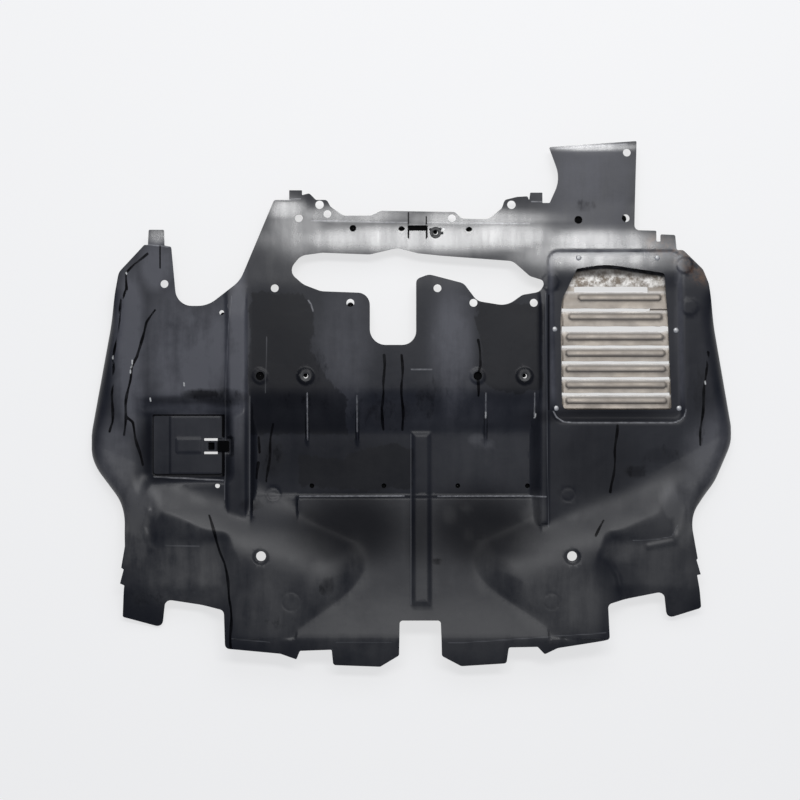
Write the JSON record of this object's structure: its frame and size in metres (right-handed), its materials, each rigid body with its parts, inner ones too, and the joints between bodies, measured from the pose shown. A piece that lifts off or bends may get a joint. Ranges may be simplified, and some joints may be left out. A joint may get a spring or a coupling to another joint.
{
  "type": "engine guard",
  "caption": "Black moulded engine undertray with a louvred heat shield, a hinged service door, a sump opening and bolt holes.",
  "frame": {"origin": "under the middle of the tray, on the surface it lies on", "axes": "+X across the car, +Y to the rear, +Z away from the engine, which is up as the tray lies road face up"},
  "size_m": [1.0546, 0.864, 0.066],
  "materials": {
    "tray_plastic": "satin moulded black, dusty and stained",
    "shield_metal": "weathered bare aluminium",
    "rivet_metal": "dull rivet heads",
    "door_plastic": "satin moulded black",
    "clip_plastic": "worn black"
  },
  "bodies": {
    "undertray": {"tray": "tray_plastic", "heat_shield": "shield_metal", "heat_shield_rivets": "rivet_metal", "door_hinge_strip": "door_plastic", "clip_sleeves": "clip_plastic"},
    "door": {"access_door": "door_plastic"}
  },
  "joints": [
    {"name": "door_hinge", "type": "hinge", "parent": "undertray", "child": "door", "pos_m": [-0.39855, -0.06854, 0.0308], "axis": [0, -1, 0], "range_deg": [0, 110]}
  ]
}
